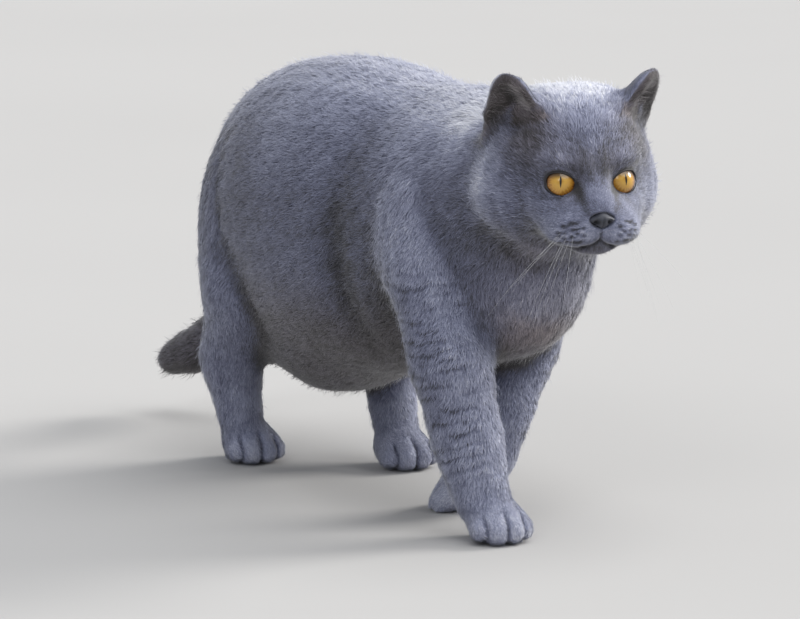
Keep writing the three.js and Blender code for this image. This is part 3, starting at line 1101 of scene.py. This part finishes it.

# Painted light and shade on the coat, and the warmer tint of its shade: middle, size, and by how
# much. The body's are in the row frame's millimetres, the face's in the head's, and all are the same
# on both sides.
BODY_LIGHT_AND_SHADE = [
    ((74, 74, 170), (22, 40, 56), -0.14),  # painted shade behind the shoulder
    ((112, 62, 200), (30, 34, 40), 0.05),  # painted light on the shoulder
    ((60, 0, 262), (60, 40, 16), 0.05),  # painted light on the withers
    ((128, 26, 256), (46, 44, 22), 0.12),  # painted light on the root of the neck
    ((150, 50, 122), (26, 34, 32), -0.08),  # painted shade at the elbow
    ((-57, 74, 207), (40, 30, 36), -0.06),  # painted shade on the haunch
    ((160, 55, 195), (35, 30, 42), 0.05),  # painted light on the side of the neck
]
FACE_LIGHT_AND_SHADE = [
    ((-8, 7, 50), (40, 30, 22), 0.48),  # painted light on the crown
    ((-16, 30, 46), (16, 16, 16), 0.16),  # painted light behind the ears
    ((-44, 0, 38), (22, 36, 18), 0.16),  # painted light on the nape
    ((-14, 54, -4), (12, 12, 26), 0.24),  # painted rim light on the cheek ruff
    ((53, 0, -9), (14, 4.0, 8), 0.10),  # painted light on the bridge of the nose
    ((44, 11, -5), (14, 3.5, 6), -0.14),  # painted shade in the inner corners of the eyes
    ((46, 5, 7), (14, 7, 9), -0.17),  # painted shade in the frown
    ((50, 13, -28), (14, 12, 7.5), 0.26),  # painted light on the whisker pads
    ((22, 31, 25), (13, 13, 10), -0.17),  # painted shade before the ears
    ((36, 14, 26), (16, 20, 12), -0.07),  # painted shade on the forehead
    ((2, 52, 4), (14, 14, 16), 0.10),  # painted light on the back of the cheek
    ((12, 26, -45), (18, 18, 12), 0.12),  # painted light on the throat
    ((42, 19, 8), (14, 12, 4.0), -0.13),  # painted shade over the eyes
    ((46, 0, -43), (14, 18, 6), 0.03),  # painted light on the chin
    ((20, 46, -14), (20, 12, 16), 0.07),  # painted light on the cheek
    ((16, 36, 12), (18, 12, 16), -0.12),  # painted shade on the temples
    ((42, 17, -14), (8, 9, 5), -0.06),  # painted shade under the eyes
    ((-56, 48, 30), (20, 18, 34), 0.32),  # painted rim light on the ruff behind the cheeks
    ((-5, 23, -47), (16, 14, 12), 0.06),  # painted light under the jowls
    ((30, 36, -30), (16, 12, 7), -0.07),  # painted shade behind the pads
]
WARM_SHADE_MARKS = [
    ((6, 28, -48), (26, 24, 16), 0.6),  # warm tint of the painted shade on the throat and jowls
    ((20, 32, 22), (18, 16, 16), 0.7),  # warm tint of the painted shade on the temples
    ((42, 8, 10), (14, 14, 10), 0.35),  # warm tint of the painted shade on the brow
    ((46, 0, -45), (14, 16, 8), 0.6),  # warm tint of the painted shade on the chin
]
LIT_CHEST = ((-30, -6, -84), (44, 46, 42))  # painted light, with the warmer tint of shade; in the head's millimetres, not mirrored
MOTTLED_PAD = ((50, 14, -28), (16, 14, 9))  # where the whisker pads are mottled

# Lines of another tone, painted shade in the face's creases: beside the nose from the eyes' inner
# corners, in the mouth's corners, under the pads, in the philtrum and the frown; along the mouth the
# lips' dark colour as well. Path, width, and by how much.
LIP_COLOUR_AND_CREASE_SHADE = [
    (TEAR, 2.3, -0.30),
    (MOUTH, 1.2, -0.26),
    (CORNER, 2.4, -0.13),
    (PHILTRUM, 0.9, -0.22),
    (UNDER_PAD, 3.2, -0.10),
    (FROWN, 2.0, -0.10),
]

# How low the ears' dark insides reach: distances from the head's middle, and the height at each.
EAR_FRONT = ((18, 30, 42, 51, 57), (34, 29.5, 27, 19, 17))

# The whiskers' roots stand in rows, each told by its first and last.
WHISKER_ROWS = [
    ((49, 14.5, -22.5), (41, 22, -25)),
    ((53, 11, -25.5), (42, 23, -28)),
    ((53, 10.5, -29), (42, 23.5, -31.5)),
    ((52, 11, -32.5), (43, 21, -34.5)),
]
FOLLICLES = 5  # in a row
FOLLICLE_SIZE = (2.2, 1.5, 0.9)  # of the dark dot round each
FOLLICLE_DARK = 0.46


def place_follicles(spots):
    """Where each whisker's root is on the skin, in the head's millimetres, row by row."""
    chance = np.random.default_rng(SEED + 3)
    muzzle = in_head(spots)
    muzzle = muzzle[muzzle[:, 0] > 30]
    found = []
    for side in (-1, 1):
        for start, end in np.array(WHISKER_ROWS, float):
            for share in np.linspace(0, 1, FOLLICLES):
                place = start + (end - start) * share + chance.normal(size=3) * 0.55
                away = np.hypot(muzzle[:, 1] - side * place[1], muzzle[:, 2] - place[2])
                found.append(muzzle[np.argmin(away - 0.02 * muzzle[:, 0])])
    return found


def body_tone(spots, normals, region):
    """How much lighter or darker than its mean the coat is on the body, legs and tail: painted light
    and shade, by where each part lies and how it faces.
    """
    at = spots / MM
    half = mirrored(at)[0]
    ahead, _, up = normals.T
    trunk = region["trunk"] + region["neck"]
    leg, paw = region["leg"], region["paw"]
    # Painted light on what faces up and on the breast that faces forward, painted shade on the
    # flanks.
    light_on_back = 0.20 * step(0.45, 1.0, up)
    shade_on_flank = 0.09 * step(0.5, 0.0, up)
    light_on_breast = 0.07 * step(0.3, 0.9, ahead) * (at[:, 0] > 100)
    tone = (light_on_back - shade_on_flank + light_on_breast + 0.17 * bulk(in_head(spots), *LIT_CHEST)) * trunk
    tone -= 0.13 * step(-0.1, -0.8, up)  # painted shade on what faces down
    for middle, size, rise in BODY_LIGHT_AND_SHADE:
        tone += rise * bulk(half, middle, size) * (1 - region["head"] - region["ear"])
    # Painted shade on the lower part of the tail.
    tone -= 0.21 * region["tail"] * step(190, 120, at[:, 2])
    # Painted light on the paws, more on the front legs and paws, and on the legs where they face
    # forward.
    tone += 0.20 * paw + (0.08 * leg + 0.05 * paw) * step(40, 100, at[:, 0])
    tone += 0.08 * leg * step(0.5, 0.9, ahead)
    # Painted light on the hind shanks, and painted shade behind the thighs.
    light_on_hind_shank = leg * step(130, 100, at[:, 2]) * step(0, -30, at[:, 0])
    shade_behind_thigh = np.exp(-(((leg - 0.7) / 0.22) ** 2)) * step(-40, -70, at[:, 0])
    tone += 0.10 * light_on_hind_shank - 0.09 * shade_behind_thigh
    # Painted shade in the legs' folds and in the furrows between the toes.
    return tone - 0.36 * fold_share(spots, normals) * leg - 0.17 * toe_share(spots) * paw


def face_tone(spots, region, follicles):
    """The same on the head: painted light and shade, the face's lines, the lids' dark edges with
    painted shade under the upper lids, and the whiskers' dark roots.
    """
    at = spots / MM
    head = in_head(spots)
    half = mirrored(head)[0]
    on_head = region["head"]
    tone = on_head * (0.028 * waves(at, 10, 31) + 0.022 * waves(at, 5, 32))
    here = (on_head + region["trunk"] + region["neck"]) * (1 + 0.18 * waves(at, 8, 11))
    for middle, size, rise in FACE_LIGHT_AND_SHADE:
        tone += rise * bulk(half, middle, size) * here
    for path, width, rise in LIP_COLOUR_AND_CREASE_SHADE:
        tone += rise * groove(head, path, width, 1.0, forward=0.3)[1] * on_head * (head[:, 0] > 20)
    margin = opening_margin(head)
    # Darker round each opening: the lids' own dark edge, with painted shade of the upper lid above
    # it.
    lid_edge_and_shade = 0.08 + 0.16 * step(-3, 7, head[:, 2])
    tone -= lid_edge_and_shade * np.exp(-((np.maximum(margin, 0) / 1.5) ** 2)) * on_head * (margin < FAR)
    muzzle = on_head * (half[:, 0] > 30) > 0
    dots = sum(bulk(head[muzzle], place, FOLLICLE_SIZE) for place in follicles)
    tone[muzzle] -= FOLLICLE_DARK * np.clip(dots, 0, 1)
    return tone + 0.09 * waves(at * [1, 1, 1.8], 4.5, 12) * bulk(half, *MOTTLED_PAD)


def ear_inside(spots, normals, region):
    """1 where the skin lines an ear's opening, 0 elsewhere."""
    half, side = mirrored(in_head(spots))
    facing = to_side(normals @ AXES.T, side) @ EAR_OPENS
    front = np.interp(half[:, 1], *EAR_FRONT)
    medial = 20 + 0.62 * np.maximum(half[:, 2] - 33, 0)
    bowl = step(-1.5, 2.5, half[:, 2] - front) * step(-1, 2, half[:, 1] - medial)
    bowl *= (half[:, 0] > 2) & (half[:, 1] < 56)
    return np.maximum(step(0.1, 0.4, facing) * region["ear"], bowl * region["head"])


def tone_with_light_and_shade(spots, normals, weights, follicles):
    """How light and how warm the coat is, from 0 to 1, painted light and shade included: skin and
    tufts share it.
    """
    at = spots / MM
    region = {name: part_of(weights, name) for name in REGIONS}
    trunk = region["trunk"] + region["neck"]
    inside = ear_inside(spots, normals, region)
    tone = MEAN_TONE + 0.030 * waves(at, 70, 5) + 0.028 * waves(at, 17, 6) + 0.018 * waves(at, 6, 4)
    tone += body_tone(spots, normals, region) + face_tone(spots, region, follicles)
    # Painted light on the backs of the ears; the linings darker and browner, partly their own colour
    # and partly painted shade in the hollow.
    tone += 0.04 * region["ear"] * (1 - inside) - 0.15 * inside
    # The warmer tint of shade, painted: on the lower tail, on the trunk where it faces down as warm
    # light from the floor, and on the chest; and on the ears' linings.
    warm = 0.65 * region["tail"] * step(200, 120, at[:, 2]) + inside
    warm += 0.8 * step(-0.1, -0.7, normals[:, 2]) * region["trunk"]
    warm += 0.35 * bulk(in_head(spots), *LIT_CHEST) * trunk
    half = mirrored(in_head(spots))[0]
    for middle, size, rise in WARM_SHADE_MARKS:
        warm += rise * bulk(half, middle, size) * (region["head"] + trunk)
    return np.clip(tone, LEAST_TONE, 1), np.clip(warm, 0, 1)


SMALL_HOLLOWS, LARGE_HOLLOWS = 14, 110  # rounds of smoothing that lose them


def skin_shape(skin):
    """What the coat needs to know at each point of the skin."""
    mesh = skin.data
    spots, pairs = places(mesh), edges_of(mesh)
    normals = unit(soften(normals_of(mesh), pairs, 2))
    weights = soften(region_weights(spots), pairs, 10)
    near = soften(spots, pairs, SMALL_HOLLOWS)
    wide = soften(near, pairs, LARGE_HOLLOWS)
    hollow = [((level - spots) * normals).sum(1) / MM for level in (near, wide)]
    table = np.column_stack([coat_value(column, spots, weights) for column in range(len(FACE[0]))])
    head = in_head(spots)
    margin = opening_margin(head)
    near_eye = step(0, 12, margin)
    table[:, LENGTH] *= 0.45 + 0.55 * near_eye
    table[:, LIFT] *= 0.4 + 0.6 * near_eye
    table[:, DENSITY] *= 1 + 0.6 * (1 - near_eye)
    on_nose = np.linalg.norm((head - NOSE_AT) / [9.5, 6.9, 4.3], axis=1) < 1
    table[:, DENSITY] *= (margin > 0.15) & ~on_nose
    return {
        "spot": spots,
        "normal": normals,
        "weight": weights,
        "hollow": np.column_stack(hollow),
        "way": comb(spots, normals, weights, pairs),
        "coat": table,
        "follicles": place_follicles(spots),
    }


def colours(spots, normals, weights, hollow, follicles):
    """Tone and warmth, with painted shade in the creases and a painted glow on the ears' rims."""
    tone, warm = tone_with_light_and_shade(spots, normals, weights, follicles)
    near, wide = hollow.T
    # Painted shade in small and wide hollows.
    tone = tone - 0.10 * np.clip(near, -0.4, 1.6) - 0.05 * np.clip(wide, -0.8, 3.0)
    rim = ear_rim(mirrored(in_head(spots))[0]) * step(0.35, 0.75, part_of(weights, "ear"))
    return np.clip(tone + (EAR_RIM_GLOW - tone) * rim, LEAST_TONE, 1), warm * (1 - rim)


def plant(skin, shape, chance):
    """Roots of tufts all over the skin: their triangles' corners and shares of each."""
    mesh = skin.data
    mesh.calc_loop_triangles()
    corners = read(mesh.loop_triangles, "vertices", 3, np.int32)
    a, b, c = (shape["spot"][corners[:, index]] / MM for index in range(3))
    area = np.linalg.norm(np.cross(b - a, c - a), axis=1) / 2
    thick = shape["coat"][:, DENSITY][corners].min(1) * area
    number = np.floor(thick + chance.random(len(thick))).astype(int)
    corners = np.repeat(corners, number, axis=0)
    u, v = chance.random((2, len(corners)))
    over = u + v > 1
    u, v = np.where(over, 1 - u, u), np.where(over, 1 - v, v)
    return corners, np.column_stack([1 - u - v, u, v])


def at_roots(values, corners, shares):
    """The skin's values at each root, from its triangle's three corners."""
    return sum(values[corners[:, index]] * shares[:, index : index + 1] for index in range(3))


ROOTED = 0.25 * MM  # how deep a tuft's foot is in the skin
COAT_PIECES = {
    "coat_head": ["head"],
    "coat_ears": ["ear"],
    "coat_body": ["neck", "trunk"],
    "coat_tail": ["tail"],
    "coat_legs": ["leg"],
    "coat_paws": ["paw"],
}
MOST_TUFTS = 98000  # in one piece: a tuft is two triangles, and a piece has under 200,000
GUARD = 0.08  # share of the tufts that are longer, thinner and stand higher
UNEVEN = 0.060  # how unlike each other neighbouring tufts' tones are
UNEVEN_FACE = 0.024  # and how much more so on the head
PATCH = 0.003  # how wide each tuft's place is on its map


def blades(root, normal, way, table, chance):
    """Each tuft's foot, edge, tip and edge, and the way that its shading faces at each."""
    count = len(root)
    long = chance.random((count, 1)) < GUARD
    across = np.cross(normal, way)
    clump = waves(root / MM, 9, 21)[:, None] * 0.12 + waves(root / MM, 26, 22)[:, None] * 0.12
    lean = chance.normal(size=(count, 1)) * 0.24 + clump
    way = laid_on(way + across * lean, normal)
    across = np.cross(normal, way)
    length = table[:, LENGTH : LENGTH + 1] * MM * chance.uniform(0.7, 1.2, (count, 1))
    half = table[:, HALF : HALF + 1] * MM * chance.uniform(0.7, 1.2, (count, 1))
    lift = table[:, LIFT : LIFT + 1] * MM * chance.uniform(0.25, 1.35, (count, 1))
    lift *= 1 + 0.3 * waves(root / MM, 13, 23)[:, None]
    length, half, lift = length * (1 + 0.25 * long), half * (1 - 0.5 * long), lift * (1 + 1.2 * long)
    roll = chance.normal(size=(count, 1)) * 0.35
    edge = unit(across + normal * roll) * half
    foot = root - normal * ROOTED
    middle = root + way * length * 0.46 + normal * lift * 0.72
    sway = across * length * chance.normal(size=(count, 1)) * 0.06
    tip = root + way * length + normal * lift + sway
    points = np.stack([foot, middle - edge, tip, middle + edge], axis=1)
    points[..., 2] = np.maximum(points[..., 2], FLOOR_GAP / 4)
    left, right = unit(normal - across * 0.3), unit(normal + across * 0.3)
    return points, np.stack([normal, left, unit(normal + way * 0.12), right], axis=1)


def grow_coat(skin, shape):
    """Tufts all over the skin, in pieces by region, each of at most MOST_TUFTS."""
    chance = np.random.default_rng(SEED)
    corners, shares = plant(skin, shape, chance)
    root, normal, way, hollow, weight, table = (
        at_roots(shape[key], corners, shares)
        for key in ("spot", "normal", "way", "hollow", "weight", "coat")
    )
    normal = unit(normal)
    points, shade = blades(root, normal, way, table, chance)
    tone, warm = colours(root, normal, weight, hollow, shape["follicles"])
    uneven = UNEVEN + UNEVEN_FACE * part_of(weight, "head")
    tone = tone + chance.normal(size=len(root)) * uneven
    pieces = []
    for name, regions in COAT_PIECES.items():
        chosen = np.isin(weight.argmax(1), [REGIONS.index(region) for region in regions])
        chosen = np.flatnonzero(chosen)
        u, v = unwrap(name, root[chosen], normal[chosen])
        parts = math.ceil(len(chosen) / MOST_TUFTS)
        for part, group in enumerate(np.array_split(np.argsort(u, kind="stable"), parts)):
            here = chosen[group]
            label = name + ("_%d" % (part + 1) if parts > 1 else "")
            held = {"tone": tone[here], "warm": warm[here]}
            pieces.append(tuft_piece(label, points[here], shade[here], held, u[group], v[group]))
    return pieces


BETWEEN_LIMBS = 30 * MM  # the front legs are ahead of this, the hind ones behind it
TRUNK_MIDDLE = 165 * MM


def unwrap(name, spots, normals):
    """Where each root lies on a map of its own part of the skin: round it, and along it."""
    if name in ("coat_head", "coat_ears"):
        head = in_head(spots)
        turn = np.arctan2(head[:, 1], head[:, 2])
        return turn, np.arctan2(np.hypot(head[:, 1], head[:, 2]), head[:, 0])
    if name in ("coat_legs", "coat_paws", "coat_tail"):
        turn = np.arctan2(normals[:, 1], normals[:, 0])
        limb = 2.0 * (spots[:, 1] > 0.0) + 4.0 * (spots[:, 0] > BETWEEN_LIMBS)
        return turn / (2 * math.pi) + limb, spots[:, 2]
    return np.arctan2(spots[:, 1], spots[:, 2] - TRUNK_MIDDLE), spots[:, 0]


def tuft_piece(name, points, shade, held, u, v):
    """One mesh of tufts, each a bent blade of two faces with its own patch on the map."""
    count = len(points)
    mesh = bpy.data.meshes.new(name)
    mesh.vertices.add(count * 4)
    mesh.vertices.foreach_set("co", points.astype(np.float32).ravel())
    mesh.loops.add(count * 6)
    mesh.polygons.add(count * 2)
    first = (np.arange(count) * 4)[:, None]
    corners = (first + [0, 1, 3, 1, 2, 3]).ravel()
    mesh.loops.foreach_set("vertex_index", corners.astype(np.int32))
    mesh.polygons.foreach_set("loop_start", np.arange(0, count * 6, 3, dtype=np.int32))
    mesh.polygons.foreach_set("use_smooth", np.ones(count * 2, bool))
    mesh.update(calc_edges=True)
    for word, values in held.items():
        hold(mesh, word, np.repeat(values, 4))
    hold(mesh, "tip", np.tile([0.0, 0.55, 1.0, 0.55], count))
    # The map's columns hold the roots in the order of u, and each column runs in the order of v.
    columns = math.ceil(math.sqrt(count))
    order = np.lexsort((v, np.argsort(np.argsort(u)) // columns))
    place = np.empty(count, int)
    place[order] = np.arange(count)
    middle = (np.column_stack([place // columns, place % columns]) + 0.5) / columns
    corner = np.array([[0, -0.5], [-0.5, 0], [0, 0.5], [0.5, 0]]) * PATCH
    patches = middle[:, None] + corner
    layer = mesh.uv_layers.new(name="OFBake")
    layer.data.foreach_set("uv", patches.reshape(-1, 2)[corners].astype(np.float32).ravel())
    mesh.normals_split_custom_set_from_vertices(shade.reshape(-1, 3).astype(np.float32))
    piece = bpy.data.objects.new(name, mesh)
    bpy.context.scene.collection.objects.link(piece)
    return piece


# Whiskers


def whisker(root, way, length, droop, thick, rings=14, sides=5):
    """A tapered hair that starts along `way` and bends down under its own weight."""
    share = np.linspace(0, 1, rings)[:, None]
    line = root + way * length * share + np.array([0, 0, -1.0]) * droop * share**2
    ahead = unit(np.gradient(line, axis=0))
    level = unit(np.cross(ahead, [0.2, 0.1, 1.0]))
    third = np.cross(ahead, level)
    turns = np.linspace(0, 2 * math.pi, sides, endpoint=False)
    radius = thick * (1 - share) ** 0.8 + 0.015
    around = np.cos(turns)[:, None, None] * level + np.sin(turns)[:, None, None] * third
    return (line + around * radius).transpose(1, 0, 2)


def add_hair(points, faces, rings):
    """Adds a hair, told by its rings of points, and closes its ends."""
    base = len(points)
    count, sides = rings.shape[:2]
    points.extend(rings.reshape(-1, 3))
    for ring in range(count - 1):
        faces.extend(band(base + ring * sides, base + (ring + 1) * sides, sides))
    faces.append(tuple(base + turn for turn in reversed(range(sides))))
    faces.append(tuple(base + (count - 1) * sides + turn for turn in range(sides)))


def build_whiskers(skin, follicles):
    """Whiskers from the lower rows of each pad, and a few hairs over each eye."""
    chance = np.random.default_rng(SEED + 1)
    tree = BVHTree.FromObject(skin, bpy.context.evaluated_depsgraph_get())
    points, faces = [], []

    def add(start, way, length, droop, thick):
        nearest = tree.find_nearest(Vector(from_head(np.array([start]))[0]))[0]
        root = in_head(np.array([nearest]))[0]
        way = unit(way)
        add_hair(points, faces, whisker(root - way * 0.8, way, length, droop, thick))

    for side in (-1, 1):
        # The rows are told from above; the highest has no long whiskers, nor have the first roots.
        for row in range(1, len(WHISKER_ROWS)):
            for index in range(2 + row % 2, FOLLICLES):
                place = follicles[((side > 0) * len(WHISKER_ROWS) + row) * FOLLICLES + index]
                share = index / (FOLLICLES - 1)
                spread = 0.05 + 0.42 * share
                way = np.array([0.22 - 0.35 * share, side * spread, -0.80 + 0.14 * (3 - row)])
                way = way + chance.normal(size=3) * 0.13
                length = (28 + 26 * share) * chance.uniform(0.8, 1.15)
                add(place, way, length, length * chance.uniform(0.05, 0.25), 0.055)
        for index in range(3):
            place = np.array([38, side * (15 + 2.6 * index), 9 + 0.8 * index])
            way = np.array([0.45, side * (0.3 + 0.2 * index), 0.8]) + chance.normal(size=3) * 0.08
            add(place, way, chance.uniform(14, 24), chance.uniform(2, 5), 0.03)
    return new_piece("whiskers", from_head(np.array(points)), faces)


EAR_HAIRS = 260  # in each ear


def build_ear_hair(shape):
    """Fine pale hairs from the ears' edges, across their openings."""
    chance = np.random.default_rng(SEED + 2)
    head = in_head(shape["spot"])
    half, side = mirrored(head)
    across, up, _ = in_ear(half)
    facing = to_side(shape["normal"] @ AXES.T, side) @ EAR_OPENS
    lining = (facing > 0.1) & (part_of(shape["weight"], "ear") > 0.5)
    lining &= (np.abs(across) > 4) & (up > 2) & (up < 36)
    points, faces = [], []
    for way_side in (-1, 1):
        chosen = np.flatnonzero(lining & (side == way_side))
        for index in chance.choice(chosen, min(EAR_HAIRS, len(chosen)), replace=False):
            inwards = -0.8 * np.sign(across[index])
            way = EAR_ACROSS * inwards + EAR_UP * chance.uniform(0.1, 1.0)
            way = way + EAR_OPENS * chance.uniform(0.1, 0.5) + chance.normal(size=3) * 0.22
            length = chance.uniform(4, 11)
            way = unit(way * [1, way_side, 1])
            add_hair(points, faces, whisker(head[index], way, length, length * 0.08, 0.055, 6, 3))
    return new_piece("ear_hair", from_head(np.array(points)), faces)


def hair_finish(name, roughness, dark, light):
    finish = Finish(name, Roughness=roughness)
    finish.feed("Base Color", finish.mix(finish.noise(300.0), dark, light))
    return finish.material


# Putting it together


def belongs(piece, slot, material, *nodes):
    """Gives a piece its material and body, and hides the solids that it replaces; the slot is not
    used.
    """
    piece.data.materials.clear()
    piece.data.materials.append(material)
    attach(piece, "root")
    if nodes:
        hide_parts(*nodes)


set_floor()
set_lamps()
set_camera()

skin = build_skin()
shape = skin_shape(skin)
follicles = shape["follicles"]
tone, warm = colours(shape["spot"], shape["normal"], shape["weight"], shape["hollow"], follicles)
hold(skin.data, "tone", tone)
hold(skin.data, "warm", warm)
belongs(skin, "coat", coat_finish("undercoat", 0.12, False), *FLESH)

eye_material = eye_finish()
rim_material = lid_rim_finish()
for side, word in ((-1, "right"), (1, "left")):
    belongs(build_eye(side, word), "eye", eye_material, "eye_" + word)
    belongs(build_lid_rim(side, word), "face", rim_material)
belongs(build_nose(), "nose", nose_finish(), "nose")

white = hair_finish("whisker_white", 0.35, (0.72, 0.72, 0.74), (0.9, 0.9, 0.9))
belongs(build_whiskers(skin, follicles), "face", white)
grey = hair_finish("ear_hair_grey", 0.5, (0.24, 0.215, 0.22), (0.60, 0.56, 0.57))
belongs(build_ear_hair(shape), "ear", grey)

SLOT_OF = {"coat_head": "face", "coat_ears": "ear", "coat_tail": "tail"}  # the others are "coat"
fur = coat_finish("fur", 0.0, True)
for piece in grow_coat(skin, shape):
    belongs(piece, SLOT_OF.get(piece.name.rstrip("_0123456789"), "coat"), fur)
